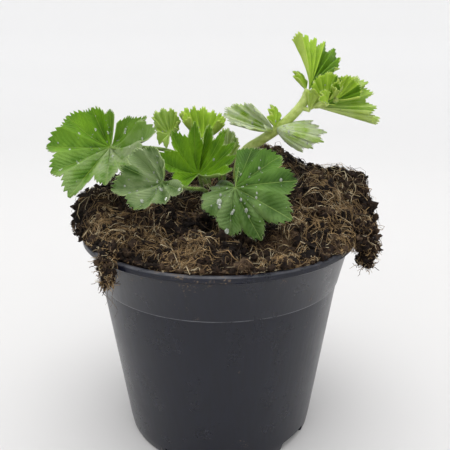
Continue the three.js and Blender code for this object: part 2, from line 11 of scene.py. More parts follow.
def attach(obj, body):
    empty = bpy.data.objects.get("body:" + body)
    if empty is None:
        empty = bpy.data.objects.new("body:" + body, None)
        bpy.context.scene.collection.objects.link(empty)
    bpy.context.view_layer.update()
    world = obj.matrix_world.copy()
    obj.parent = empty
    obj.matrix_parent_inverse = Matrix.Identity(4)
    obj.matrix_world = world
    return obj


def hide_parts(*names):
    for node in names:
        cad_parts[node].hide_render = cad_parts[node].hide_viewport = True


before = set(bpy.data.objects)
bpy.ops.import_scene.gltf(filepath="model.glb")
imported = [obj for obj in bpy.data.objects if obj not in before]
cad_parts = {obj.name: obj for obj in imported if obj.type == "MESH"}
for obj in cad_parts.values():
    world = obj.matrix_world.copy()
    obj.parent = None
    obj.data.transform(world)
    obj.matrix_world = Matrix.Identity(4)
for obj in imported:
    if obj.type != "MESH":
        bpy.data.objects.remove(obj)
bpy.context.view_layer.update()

MM = 0.001

# The pot, in millimetres
POT_HEIGHT = 134
POT_TOP_RADIUS = 85
POT_BASE_RADIUS = 62
WALL = 1.6
FLOOR = 2.2
LIP_HEIGHT = 3.4
LIP_INNER_RADIUS = 79.8
COLLAR_TOP_RADIUS = 81.6
COLLAR_FOOT_RADIUS = 76.4
STEP_Z = 105.5
STEP = 0.8
NOTCHES = 5
FIRST_NOTCH_ANGLE = -41
NOTCH_ARC = 22
NOTCH_HEIGHT = 6
NOTCH_DEPTH = 7
NOTCH_CORNER = 3.5
FLOOR_HOLE_RADIUS = 5
FLOOR_HOLE_CIRCLE = 38
POT_STEPS = 160

# The soil, in millimetres
CLEARANCE = 0.35
CROWN_Z = 160
LUMPS = 90
LUMP_REACH = 74
LUMP_HEIGHT = 8
LUMP_SUNK = 0.45
LUMP_SPREAD = 5
LUMP_SPREAD_MORE = 4
RIM_RISE = 0.9
HANG_RISE = 1.5
HANG_REACH = 86.6
HANG_SPAN = 3
DROOP_REACH = 91.5
DROOP_SPAN = 4
CROWN_DIP = 4
FRONT_FALL = 1.3
SIDE_FALL = 13
MOUND_COLUMNS = 420
MOUND_ROWS = 120
OPEN_ROWS = 0.88
# How many, the least radius, how much more it may be, how rare that is, how far out, and how far they stand.
CRUMBS = (5000, 0.5, 1.6, 3, 1, 0.6)
CLODS = (650, 1.5, 2.4, 2, 0.96, 0)
ROUNDER_FROM = 1.85
DRY_FROM = 0.3
FIBRES = 7800
TUFTS = 30
TUFT_FIBRES = 80

# The plant, in millimetres
BLADE = 0.5
PETIOLE_RADIUS = 1.15
STEM_RADIUS = 3.1
PLEAT = 0.32
LOBE_DEPTH = 0.2
ROUNDNESS = 2.2
TOOTH_DEPTH = 0.06
LIFT_POWER = 1.6
BURIED_Z = 148
SOIL_LEVEL = 156
BIG_LEAF = 16
HAIR_RADII = (0.045, 0.012)
DROP_LENGTH = 1.3
DROP_HEIGHT = 0.62
DROP_STAND = 0.42

# Colours and light
# The paper's grey floor and paler wall are painted shade and light.
SHADED_FLOOR_GREY = "#dbdad9"
LIT_WALL_GREY = "#efefef"
AIR = "#fcfcfd"
AIR_STRENGTH = 1.08
OVERHEAD_WATTS = 9
FRONT_WATTS = 0.6
FLESH = {"Subsurface Radius": (0.0013, 0.0014, 0.0003), "Subsurface Scale": 1.0}


def linear(hex_colour):
    """An sRGB hex colour such as #5b8a3c as the linear colour that a shader takes."""
    parts = [int(hex_colour[i : i + 2], 16) / 255 for i in (1, 3, 5)]
    return (*[c / 12.92 if c <= 0.04045 else ((c + 0.055) / 1.055) ** 2.4 for c in parts], 1)


def node(tree, kind, inputs=(), **settings):
    """Adds a shader node with its settings, stops being a colour ramp's own. Each input, by its name or in
    its order, is set, or linked where it is a node or a node's output. A range's order is its value, then
    from low, from high, to low and to high."""
    made = tree.nodes.new("ShaderNode" + kind)
    for name, value in settings.items():
        if name == "stops":
            elements = made.color_ramp.elements
            while len(elements) < len(value):
                elements.new(1)
            for element, (place, colour) in zip(elements, value):
                element.position = place
                element.color = linear(colour)
        else:
            setattr(made, name, value)
    for socket, value in inputs.items() if isinstance(inputs, dict) else enumerate(inputs):
        if isinstance(value, bpy.types.Node):
            value = next(output for output in value.outputs if output.enabled)
        if isinstance(value, bpy.types.NodeSocket):
            tree.links.new(value, made.inputs[socket])
        else:
            made.inputs[socket].default_value = value
    return made


def material(name, surface, *values):
    """A material whose surface shader a function adds to its tree from these values."""
    made = bpy.data.materials.new(name)
    made.use_nodes = True
    tree = made.node_tree
    tree.nodes.clear()
    node(tree, "OutputMaterial", [surface(tree, *values)])
    return made


def moulded_polypropylene(tree):
    """Black injection-moulded polypropylene: dull gloss, fine upright draw lines, a pale line painted along
    the lip and the step as their edge highlight, and some dried soil, which is thickest under the lip."""
    place = node(tree, "TexCoord").outputs["Object"]
    squeezed = node(tree, "Mapping", {"Vector": place, "Scale": (1, 1, 0.08)})
    lines = node(tree, "TexNoise", {"Vector": squeezed, "Scale": 450, "Detail": 4})
    clouds = node(tree, "TexNoise", {"Vector": place, "Scale": 45, "Detail": 5, "Roughness": 0.7})
    grit = node(tree, "TexNoise", {"Vector": place, "Scale": 900, "Detail": 2})
    height = node(tree, "SeparateXYZ", {"Vector": place}).outputs["Z"]
    clean_below = node(tree, "MapRange", (height, 0.1, 0.134, 0.66, 0.52))
    # Painted highlight: a thin pale line along the step and the lip's top edge, broken up by clouds, stands
    # in for the light these edges catch.
    from_step = node(tree, "Math", (height, (STEP_Z + 0.2) * MM), operation="SUBTRACT")
    from_step = node(tree, "Math", [from_step], operation="ABSOLUTE")
    at_step = node(tree, "MapRange", (from_step, 0.0002, 0.0005, 1, 0))
    from_lip = node(tree, "Math", (height, (POT_HEIGHT - 0.4) * MM), operation="SUBTRACT")
    at_lip = node(tree, "MapRange", (from_lip, 0, 0.0004, 0, 0.6))
    edges = node(tree, "Math", (at_step, at_lip), operation="ADD")
    highlight_breaks = node(tree, "MapRange", (clouds, 0.4, 0.55, 0.1, 0.7))
    painted_edge_highlight = node(tree, "Math", (edges, highlight_breaks), operation="MULTIPLY")
    excess = node(tree, "Math", (clouds, clean_below), operation="SUBTRACT")
    film = node(tree, "MapRange", (excess, 0, 0.12, 0, 1.6))
    specks = node(tree, "MapRange", (grit, 0.52, 0.62))
    dust = node(tree, "Math", (film, specks), operation="MULTIPLY", use_clamp=True)
    plastic = node(tree, "ValToRGB", [lines], stops=[(0.3, "#080b18"), (0.7, "#0c1020")])
    # The pale grey mixed in here is the painted edge highlight on the step and the lip.
    plastic = node(tree, "MixRGB", (painted_edge_highlight, plastic, linear("#7c7d83")))
    colour = node(tree, "MixRGB", (dust, plastic, linear("#6f5f4e")))
    gloss = node(tree, "MapRange", (clouds, 0.3, 0.7, 0.24, 0.36))
    rough = node(tree, "Math", (dust, 0.4, gloss), operation="MULTIPLY_ADD")
    relief = node(tree, "Math", (dust, 2, lines), operation="MULTIPLY_ADD")
    bump = node(tree, "Bump", {"Height": relief, "Strength": 0.25, "Distance": 0.0002})
    skin = {"Base Color": colour, "Roughness": rough, "IOR": 1.49, "Specular IOR Level": 0.42, "Normal": bump}
    return node(tree, "BsdfPrincipled", skin)


def peat(tree, stops):
    """Damp peat: nearly black in its pores, brown where it has dried, and without shine."""
    place = node(tree, "TexCoord").outputs["Object"]
    broad = node(tree, "TexNoise", {"Vector": place, "Scale": 70, "Detail": 3})
    fine = node(tree, "TexNoise", {"Vector": place, "Scale": 600, "Detail": 4, "Roughness": 0.7})
    both = node(tree, "MixRGB", (0.5, broad, fine))
    colour = node(tree, "ValToRGB", [both], stops=stops)
    bump = node(tree, "Bump", {"Height": fine, "Strength": 0.9, "Distance": 0.0012})
    skin = {"Base Color": colour, "Roughness": 0.9, "Specular IOR Level": 0.2, "Normal": bump}
    return node(tree, "BsdfPrincipled", skin)


def moss_fibre(tree, dark, light):
    """A dry moss or sedge fibre: matt, and lighter along some of its length."""
    place = node(tree, "TexCoord").outputs["Object"]
    clouds = node(tree, "TexNoise", {"Vector": place, "Scale": 200, "Detail": 2})
    colour = node(tree, "ValToRGB", [clouds], stops=[(0.35, dark), (0.65, light)])
    skin = {"Base Color": colour, "Roughness": 0.7, "Specular IOR Level": 0.3}
    return node(tree, "BsdfPrincipled", skin)


def leaf_skin(tree, deep, middle, bright, rib, bloom, rough, glow):
    """A living leaf: soft green skin with paler ribs in its folds, a painted highlight along the ridges
    between its lobes, side ribs that run out to the teeth and a fine net, greyed where its down is thick and
    by a painted sheen, and letting some light through. Its UV map counts lobes across and goes from the
    junction to the margin, and an attribute says where the down and the painted sheen grey it."""
    uv = node(tree, "SeparateXYZ", {"Vector": node(tree, "UVMap")})
    across, out = uv.outputs["X"], uv.outputs["Y"]
    place = node(tree, "TexCoord").outputs["Object"]
    in_lobe = node(tree, "Math", [across], operation="FRACT")
    aside = node(tree, "Math", (in_lobe, 0.5), operation="SUBTRACT")
    from_rib = node(tree, "Math", [aside], operation="ABSOLUTE")
    # A rib keeps its width in millimetres, so its share of the lobe falls as the lobe widens.
    real_way = node(tree, "Math", (from_rib, out), operation="MULTIPLY")
    midrib = node(tree, "MapRange", (real_way, 0.004, 0.02, 1, 0))
    lean = node(tree, "Math", (from_rib, -1.1, 1), operation="MULTIPLY_ADD")
    start = node(tree, "Math", (out, lean), operation="MULTIPLY")
    counted = node(tree, "Math", (start, 12), operation="MULTIPLY")
    wave = node(tree, "Math", (counted, 0.5), operation="PINGPONG")
    side_rib = node(tree, "MapRange", (wave, 0.02, 0.12, 1, 0))
    net = node(tree, "TexVoronoi", {"Vector": place, "Scale": 800}, feature="DISTANCE_TO_EDGE")
    clouds = node(tree, "TexNoise", {"Vector": place, "Scale": 90, "Detail": 5})
    skin = node(tree, "ValToRGB", [clouds], stops=[(0.3, deep), (0.52, middle), (0.72, bright)])
    # Painted highlight: the ridges between the lobes, where the folds catch the light, are mixed towards the
    # bright green.
    ridge_highlight = node(tree, "MapRange", (from_rib, 0.1, 0.46), interpolation_type="SMOOTHSTEP")
    for raised, amount, paler in ((ridge_highlight, 0.5, bright), (side_rib, 0.22, bright), (midrib, 0.6, rib)):
        share = node(tree, "Math", (raised, amount), operation="MULTIPLY")
        skin = node(tree, "MixRGB", (share, skin, linear(paler)))
    # The grey is partly the down's real colour and partly a painted sheen, the light that the down reflects,
    # strongest on the ridges.
    grey = node(tree, "Attribute", attribute_name="bloom").outputs["Fac"]
    patches = node(tree, "MapRange", (clouds, 0.4, 0.56))
    ridge_sheen_patches = node(tree, "Math", (ridge_highlight, 0.5, patches), operation="MULTIPLY_ADD")
    down_and_sheen_share = node(tree, "Math", (grey, ridge_sheen_patches), operation="MULTIPLY", use_clamp=True)
    skin = node(tree, "MixRGB", (down_and_sheen_share, skin, linear(bloom)))
    quilt = node(tree, "Math", (net, 0.6, wave), operation="MULTIPLY_ADD")
    relief = node(tree, "Math", (midrib, -0.8, quilt), operation="MULTIPLY_ADD")
    bump = node(tree, "Bump", {"Height": relief, "Strength": 0.6, "Distance": 0.0008})
    finish = {"Roughness": rough, "Specular IOR Level": 0.2, "Normal": bump, "Subsurface Weight": glow}
    return node(tree, "BsdfPrincipled", {"Base Color": skin, **finish, **FLESH})


def plain_skin(tree, dark, light, rough, glow=0.0):
    """Stalk, bark or down: one soft variation between two colours, with a little relief."""
    place = node(tree, "TexCoord").outputs["Object"]
    clouds = node(tree, "TexNoise", {"Vector": place, "Scale": 280, "Detail": 3})
    colour = node(tree, "ValToRGB", [clouds], stops=[(0.3, dark), (0.7, light)])
    bump = node(tree, "Bump", {"Height": clouds, "Strength": 0.4, "Distance": 0.0004})
    finish = {"Roughness": rough, "Specular IOR Level": 0.3, "Normal": bump, "Subsurface Weight": glow}
    return node(tree, "BsdfPrincipled", {"Base Color": colour, **finish, **FLESH})


def rain_water(tree):
    """Rain water: smooth, with a white base colour that is painted light, standing in for the sky's light
    that each drop gathers inside.
    """
    clear = {"Base Color": linear("#f4f9ef"), "Roughness": 0.02, "IOR": 1.333, "Transmission Weight": 0.72}
    return node(tree, "BsdfPrincipled", clear)


def seamless_paper(tree):
    """Matt studio paper, painted a soft grey on the floor and paler up the wall: painted shade and light for
    how the studio's light falls.
    """
    place = node(tree, "TexCoord").outputs["Object"]
    away = node(tree, "VectorMath", [place], operation="LENGTH").outputs["Value"]
    out = node(tree, "MapRange", (away, 0.3, 2.2))
    colour = node(tree, "ValToRGB", [out], stops=[(0, SHADED_FLOOR_GREY), (1, LIT_WALL_GREY)])
    return node(tree, "BsdfPrincipled", {"Base Color": colour, "Roughness": 0.95})


POLYPROPYLENE = material("moulded_polypropylene", moulded_polypropylene)
DAMP_STOPS = [(0.36, "#0a0706"), (0.5, "#1a120d"), (0.6, "#35261b"), (0.72, "#5c4833")]
DRY_STOPS = [(0.36, "#16100c"), (0.48, "#352920"), (0.6, "#574635"), (0.72, "#7a6850")]
PEAT = material("peat", peat, DAMP_STOPS)
PEAT_CRUMB = material("dry_peat_crumb", peat, DRY_STOPS)
FIBRE_LOOKS = [
    material("dark_root", moss_fibre, "#1a1410", "#3a2f26"),
    material("brown_moss_fibre", moss_fibre, "#453628", "#6e5840"),
    material("golden_moss_fibre", moss_fibre, "#7a6242", "#b39568"),
    material("pale_sedge_straw", moss_fibre, "#a8946e", "#e4d5b2"),
]
# Greens: in the clouds deep, middle and bright, then the ribs and the grey of the down and painted sheen;
# then roughness and glow.
GREENS = {
    "mature_leaf": ("#38600a", "#55800c", "#739e1a", "#9ab24c", "#8b9b70", 0.5, 0.15),
    # The older green is darker partly as the older leaves' own colour and partly as painted shade, for these
    # leaves lie under the others.
    "older_shaded_leaf": ("#264208", "#385d10", "#527a20", "#8fa95a", "#93a278", 0.5, 0.1),
    "leaf_underside": ("#708a45", "#829c52", "#95ae62", "#bccb8c", "#a5b38c", 0.6, 0.2),
    "young_leaf": ("#759824", "#93b62e", "#b0d04c", "#d6e69a", "#c2cfa8", 0.5, 0.3),
    "young_underside": ("#8ba341", "#a4bd50", "#bcd168", "#e0ebae", "#c2cfa8", 0.6, 0.3),
}
LEAF, OLDER_SHADED_LEAF, UNDERSIDE, YOUNG_LEAF, YOUNG_UNDERSIDE = [
    material(name, leaf_skin, *greens) for name, greens in GREENS.items()
]
AGES = {
    "mature": (LEAF, UNDERSIDE, "leaf"),
    "older": (OLDER_SHADED_LEAF, UNDERSIDE, "leaf"),
    "young": (YOUNG_LEAF, YOUNG_UNDERSIDE, "young_leaf"),
}
PETIOLE = material("petiole", plain_skin, "#55702a", "#86a04e", 0.55, 0.2)
STALK = material("downy_stalk", plain_skin, "#9db14c", "#cbd98a", 0.55, 0.3)
DOWN = material("silky_down", plain_skin, "#bcc89a", "#e2e9cc", 0.6)
BARK = material("rootstock_bark", plain_skin, "#271a11", "#593c26", 0.85)
WATER = material("rain_water", rain_water)
PAPER = material("seamless_paper", seamless_paper)


def new_object(name, data):
    """An object in the scene, at the origin."""
    made = bpy.data.objects.new(name, data)
    bpy.context.scene.collection.objects.link(made)
    return made


def finished_mesh(*made):
    """The mesh that the first of these objects comes to with the help of the others. All are then removed."""
    bpy.context.view_layer.update()
    graph = bpy.context.evaluated_depsgraph_get()
    mesh = bpy.data.meshes.new_from_object(made[0].evaluated_get(graph))
    for helper in made:
        bpy.data.objects.remove(helper)
    return mesh


def piece(name, mesh, materials, nodes=()):
    """An object at the origin from a finished mesh, which rides on the one body."""
    mesh.name = name
    made = new_object(name, mesh)
    for place, look in enumerate(materials):
        if place < len(mesh.materials):
            mesh.materials[place] = look
        else:
            mesh.materials.append(look)
    mesh.shade_smooth()
    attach(made, "root")
    if nodes:
        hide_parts(*nodes)
    return made


def mesh_from(bm, scale=MM):
    """A mesh from a bmesh in millimetres, in metres unless another scale is given."""
    bmesh.ops.scale(bm, vec=(scale, scale, scale), verts=bm.verts)
    mesh = bpy.data.meshes.new("made")
    bm.to_mesh(mesh)
    bm.free()
    return mesh


def curve_mesh(strands, sides):
    """Round strands as a mesh in millimetres. A strand is its points, its radii and its material's place."""
    ring = bpy.data.curves.new("ring", "CURVE")
    ring.dimensions = "2D"
    outline = ring.splines.new("POLY")
    outline.points.add(sides - 1)
    for i, point in enumerate(outline.points):
        turn = -2 * pi * i / sides
        point.co = (cos(turn), sin(turn), 0, 1)
    outline.use_cyclic_u = True
    curve = bpy.data.curves.new("strands", "CURVE")
    curve.dimensions = "3D"
    curve.bevel_mode = "OBJECT"
    curve.use_fill_caps = True
    for _ in range(1 + max(look for _, _, look in strands)):
        curve.materials.append(None)
    for points, radii, look in strands:
        spline = curve.splines.new("POLY")
        spline.points.add(len(points) - 1)
        spline.points.foreach_set("co", [c for point in points for c in (*point, 1)])
        spline.points.foreach_set("radius", radii)
        spline.material_index = look
    curve.bevel_object = new_object("ring", ring)
    return finished_mesh(new_object("strands", curve), curve.bevel_object)


def strand_piece(name, strands, materials):
    """A piece of many fine strands, three-sided."""
    mesh = curve_mesh(strands, 3)
    mesh.transform(Matrix.Scale(MM, 4))
    piece(name, mesh, materials)


def smooth_way(points, steps):
    """Points on a smooth curve through the given points."""
    inner = [Vector(point) for point in points]
    ends = [inner[0] * 2 - inner[1], *inner, inner[-1] * 2 - inner[-2]]
    way = []
    for i in range(1, len(ends) - 2):
        a, b, c, d = ends[i - 1 : i + 3]
        for step in range(steps):
            t = step / steps
            square, cube = 2 * a - 5 * b + 4 * c - d, 3 * b - a - 3 * c + d
            way.append(0.5 * (2 * b + (c - a) * t + square * t * t + cube * t**3))
    way.append(Vector(points[-1]))
    return way


# Pot


def pot_profile():
    """Round the pot's wall from the base's centre, out, up, over the lip and down to the floor's centre."""
    base, foot, collar = POT_BASE_RADIUS, COLLAR_FOOT_RADIUS, COLLAR_TOP_RADIUS
    lip, lip_foot, top = LIP_INNER_RADIUS, POT_HEIGHT - LIP_HEIGHT, POT_TOP_RADIUS
    return [
        (0, 0), (base - 1.6, 0), (base - 0.5, 0.5), (base, 1.6),
        *[(base + (foot - STEP - base) * z / STEP_Z, z) for z in (7, 10, 16, 60)],
        (foot - STEP, STEP_Z), (foot - 0.15, STEP_Z + 0.15), (foot, STEP_Z + 0.5),
        (collar, lip_foot - 0.6), (collar + 0.5, lip_foot - 0.1),
        (top - 0.8, lip_foot), (top, lip_foot + 0.8), (top, POT_HEIGHT - 1.2),
        (top - 0.35, POT_HEIGHT - 0.35), (top - 1.2, POT_HEIGHT), (lip + 2, POT_HEIGHT),
        (lip + 0.8, POT_HEIGHT - 0.35), (lip, POT_HEIGHT - 1.4), (collar - WALL, lip_foot - 0.6),
        (foot - WALL, STEP_Z + 1.4), (foot - STEP - WALL, STEP_Z - 0.4), (base - WALL, FLOOR), (0, FLOOR),
    ]


def spun(profile, steps, angle=2 * pi, start=0.0):
    """A profile of (radius, height) turned about the Z axis."""
    bm = bmesh.new()
    verts = [bm.verts.new((r * cos(start), r * sin(start), z)) for r, z in profile]
    edges = [bm.edges.new(pair) for pair in zip(verts, verts[1:])]
    full = angle >= 2 * pi
    sweep = {"cent": (0, 0, 0), "axis": (0, 0, 1), "angle": angle, "steps": steps, "use_merge": full}
    bmesh.ops.spin(bm, geom=verts + edges, **sweep)
    bmesh.ops.remove_doubles(bm, verts=bm.verts, dist=0.001)
    return bm


def cut(mesh, cutters):
    """The mesh with closed cutter meshes taken out of it."""
    body = new_object("body", mesh)
    tools = [new_object("cutter", cutter) for cutter in cutters]
    for tool in tools:
        modifier = body.modifiers.new("cut", "BOOLEAN")
        modifier.operation = "DIFFERENCE"
        modifier.solver = "EXACT"
        modifier.object = tool
    return finished_mesh(body, *tools)


def notch_cutter(angle):
    """A block under the wall's foot, as wide as the notch, with its upper edges rounded."""
    inner, outer = POT_BASE_RADIUS - NOTCH_DEPTH, POT_BASE_RADIUS + 4
    middle, half = radians(angle), radians(NOTCH_ARC / 2)
    profile = [(inner, -1), (outer, -1), (outer, NOTCH_HEIGHT), (inner, NOTCH_HEIGHT), (inner, -1)]
    bm = spun(profile, 10, 2 * half, middle - half)
    bmesh.ops.holes_fill(bm, edges=[e for e in bm.edges if e.is_boundary], sides=0)
    bmesh.ops.recalc_face_normals(bm, faces=bm.faces)
    direction = Vector((-sin(middle), cos(middle), 0))
    ends = [
        e
        for e in bm.edges
        if all(v.co.z > NOTCH_HEIGHT - 0.1 for v in e.verts)
        and all(abs(v.co.dot(direction)) > 0.97 * inner * sin(half) for v in e.verts)
        and abs(e.verts[0].co.xy.length - e.verts[1].co.xy.length) > 1
    ]
    shape = {"offset": NOTCH_CORNER, "offset_type": "OFFSET", "segments": 4, "profile": 0.5}
    bmesh.ops.bevel(bm, geom=ends, affect="EDGES", material=-1, **shape)
    return mesh_from(bm)


def hole_cutter(angle):
    bm = bmesh.new()
    turn = radians(angle)
    middle = (FLOOR_HOLE_CIRCLE * cos(turn), FLOOR_HOLE_CIRCLE * sin(turn), FLOOR / 2)
    size = {"radius1": FLOOR_HOLE_RADIUS, "radius2": FLOOR_HOLE_RADIUS, "depth": FLOOR + 2}
    bmesh.ops.create_cone(bm, cap_ends=True, segments=32, matrix=Matrix.Translation(middle), **size)
    return mesh_from(bm)


def make_pot():
    bm = spun(pot_profile(), POT_STEPS)
    bmesh.ops.recalc_face_normals(bm, faces=bm.faces)
    angles = [FIRST_NOTCH_ANGLE + 360 / NOTCHES * i for i in range(NOTCHES)]
    cutters = [notch_cutter(a) for a in angles] + [hole_cutter(a + 180 / NOTCHES) for a in angles]
    made = piece("pot_shell", cut(mesh_from(bm), cutters), [POLYPROPYLENE], ["pot"])
    made.data.set_sharp_from_angle(angle=radians(40))


# Soil


def same_draws(seed):
    """The same repeatable numbers from 0 to 1 that the solid model draws."""
    while True:
        seed = (seed * 1664525 + 1013904223) % 4294967296
        yield seed / 4294967296


# Heaps on the mound: x, y, height and spread. Most were solved for from the photo's soil line, then rounded.
HEAPS = [
    (33, 28, 20, 25), (82, 12, 15, 24), (56, -14, 8, 17), (-86, -6, 11, 16), (-41, 27, 5, 23),
    (-20, 50, 12, 24), (34, 62, 14, 22), (14, -54, -7, 17), (93.7, -5, 18, 13),
]


def soil_lumps():
    draws = same_draws(41)
    lumps = []
    for _ in range(LUMPS):
        angle = next(draws) * 2 * pi
        distance = LUMP_REACH * sqrt(next(draws))
        height = LUMP_HEIGHT * (next(draws) - LUMP_SUNK)
        spread = LUMP_SPREAD + LUMP_SPREAD_MORE * next(draws)
        lumps.append((distance * cos(angle), distance * sin(angle), height, spread))
    return lumps


BUMPS = HEAPS + soil_lumps()

# Where the soil bulges past the inside of the lip: angle in degrees, spread and size. The two large sizes
# come from the same fit.
BULGES = ((-2, 30, 18.5), (176, 30, 13), (70, 28, 3), (-58, 9, 2))


def soil_reach(angle):
    """How far the soil reaches at an angle in degrees: it bulges over the rim at both sides."""
    reach = LIP_INNER_RADIUS - CLEARANCE
    for middle, spread, size in BULGES:
        off = (angle - middle + 180) % 360 - 180
        reach += size * exp(-((off / spread) ** 2))
    return reach


def overhang(reach):
    """From 0 inside the lip to 1 where the soil hangs over it."""
    return min(1, max(0, (reach - HANG_REACH) / HANG_SPAN))


def soil_top(x, y, share, reach):
    """The height of the soil at a place: a dome that falls to the rim, steeper in front, with its heaps."""
    rim = POT_HEIGHT + RIM_RISE + HANG_RISE * overhang(reach)
    front = max(0, -y / (hypot(x, y) + 1))
    fall = FRONT_FALL * front + SIDE_FALL * (1 - front) ** 2
    dome = rim + (CROWN_Z - CROWN_DIP - rim) * (1 - share**fall)
    heaped = 0
    for bump_x, bump_y, height, spread in BUMPS:
        square = ((x - bump_x) ** 2 + (y - bump_y) ** 2) / spread**2
        if square < 9:
            heaped += height * exp(-square)
    return dome + (1 - share**9) * heaped


def mound_point(angle, way):
    """A point of the soil: way runs 0 to 1 from the crown to the rim, then on, one step for each turn
    of the surface, round the overhang, over the lip and down inside the pot."""
    reach = soil_reach(angle)
    over = overhang(reach)
    droop = min(1, max(0, (reach - DROOP_REACH) / DROOP_SPAN))
    turn = radians(angle)
    if way <= 1:
        radius = way * reach
        z = soil_top(radius * cos(turn), radius * sin(turn), way, reach)
    else:
        inner = LIP_INNER_RADIUS - CLEARANCE - 0.1
        over_lip = POT_HEIGHT + CLEARANCE
        rows = [
            (reach, POT_HEIGHT + RIM_RISE + HANG_RISE * over),
            (inner + (reach - 1.5 - inner) * over, over_lip + 0.2 - 5 * droop),
            (inner + (POT_TOP_RADIUS + 1.5 - inner) * over, over_lip + 0.1 - 3 * droop),
            (inner + (POT_TOP_RADIUS + 0.8 - inner) * over, over_lip + 0.05),
            (inner, over_lip),
            (inner, POT_HEIGHT - LIP_HEIGHT),
            (COLLAR_FOOT_RADIUS - WALL - CLEARANCE, STEP_Z + 1.4),
            (COLLAR_FOOT_RADIUS - STEP - WALL - CLEARANCE, STEP_Z - 0.4),
            (POT_BASE_RADIUS - WALL - CLEARANCE, FLOOR + CLEARANCE),
            (0, FLOOR + CLEARANCE),
        ]
        step = min(int(way - 1), len(rows) - 2)
        t = way - 1 - step
        radius, z = [a + (b - a) * t for a, b in zip(rows[step], rows[step + 1])]
    return Vector((radius * cos(turn), radius * sin(turn), z))


def mound_normal(angle, way):
    ahead = mound_point(angle, way + 0.012) - mound_point(angle, max(way - 0.012, 0.001))
    beside = mound_point(angle + 1, max(way, 0.01)) - mound_point(angle - 1, max(way, 0.01))
    normal = ahead.cross(beside)
    return normal.normalized() if normal.length > 1e-9 else Vector((0, 0, 1))


def crumble(point):
    """How far the crumbs stand out of the mound at a place, in millimetres."""
    grain = noise.voronoi(point / 13)[0][0]
    fine_grain = noise.voronoi(point / 4)[0][0]
    crumbs = 6.0 * (0.45 - grain) + 2.6 * (0.45 - fine_grain)
    return crumbs + 2.0 * noise.noise(point / 12) + 1.6 * noise.noise(point / 3.3)


def make_mound():
    bm = bmesh.new()
    bmesh.ops.create_grid(bm, x_segments=MOUND_COLUMNS, y_segments=MOUND_ROWS, size=0.5)
    for vert in bm.verts:
        along, out = vert.co.x + 0.5, vert.co.y + 0.5
        angle = 360 * along
        step = out / OPEN_ROWS
        way = step * (1.6 - 0.6 * step) if step <= 1 else 1 + 9 * (out - OPEN_ROWS) / (1 - OPEN_ROWS)
        point = mound_point(angle, way)
        if way < 2.2:
            point += mound_normal(angle, way) * crumble(point) * (1 if way < 1 else max(0, 1 - 2 * (way - 1)))
        vert.co = point
    bmesh.ops.remove_doubles(bm, verts=bm.verts, dist=0.02)
    bmesh.ops.recalc_face_normals(bm, faces=bm.faces)
    piece("soil_mound", mesh_from(bm), [PEAT], ["soil"])


def surface_place(draw):
    """A random place on the open part of the mound, evenly spread over its area, as angle and way."""
    angle = draw.uniform(0, 360)
    return angle, min(1.0, sqrt(draw.random()) * 1.04)


def on_mound(angle, way, height):
    point = mound_point(angle, way)
    return point + mound_normal(angle, way) * (height + crumble(point) * (1 if way < 1 else 0.3))


# Balls of peat that hang over the lip: x, y, z and radius.
HANGING_CLUMPS = [
    [(-57.5, -62, 140, 5.6), (-58.5, -65.5, 135.5, 5), (-57, -68, 130.5, 4.2), (-58, -69.5, 126, 3)],
    [(80, -38, 140, 9.5), (85.5, -36.5, 133, 7.5), (83.5, -40, 126.5, 5.5)],
]


# Where the most fibre shows, as angles in degrees and ways out from the crown, searched for from the photo.
GOLDEN_TUFTS = [
    (-160, 0.85), (-150, 0.6), (-148, 0.75), (-144, 0.9), (-136, 0.8), (-124, 0.8), (-108, 0.75),
    (-108, 0.95), (-100, 0.8), (-64, 0.9), (-56, 1.0), (-44, 0.75), (-32, 0.75), (-32, 0.95),
    (-20, 0.95), (-16, 0.8),
]


def crumb_template(seed, fineness):
    """A crumb a millimetre in radius, its corners pushed in and out, in one of the two peat colours."""
    draw = random.Random(seed)
    bm = bmesh.new()
    bmesh.ops.create_icosphere(bm, subdivisions=fineness, radius=1)
    shift = Vector((seed, 2 * seed, 0))
    for vert in bm.verts:
        vert.co *= 1 + 1.1 * noise.noise(vert.co * 1.2 + shift) + draw.uniform(-0.25, 0.2) / fineness
    for face in bm.faces:
        face.material_index = seed % 2
    return mesh_from(bm, 1)


def outside_pot(point, gap):
    """Whether a point below the lip's top clears the pot's outside by a gap."""
    if point.z > POT_HEIGHT + gap:
        return True
    radius = hypot(point.x, point.y)
    if point.z > POT_HEIGHT - LIP_HEIGHT - gap:
        return radius > POT_TOP_RADIUS + gap
    share = (point.z - STEP_Z) / (POT_HEIGHT - STEP_Z)
    return radius > COLLAR_FOOT_RADIUS + (COLLAR_TOP_RADIUS - COLLAR_FOOT_RADIUS) * share + gap


def dryness(point):
    """Where the top of the peat has dried pale: patches about 20 mm across, from -1 to 1."""
    return 1.2 * noise.noise(point / 19) + 0.5 * noise.noise(point / 7)


def scatter(draw, width):
    """A random step, most often about as long as its width."""
    return Vector([draw.gauss(0, width) for _ in range(3)])


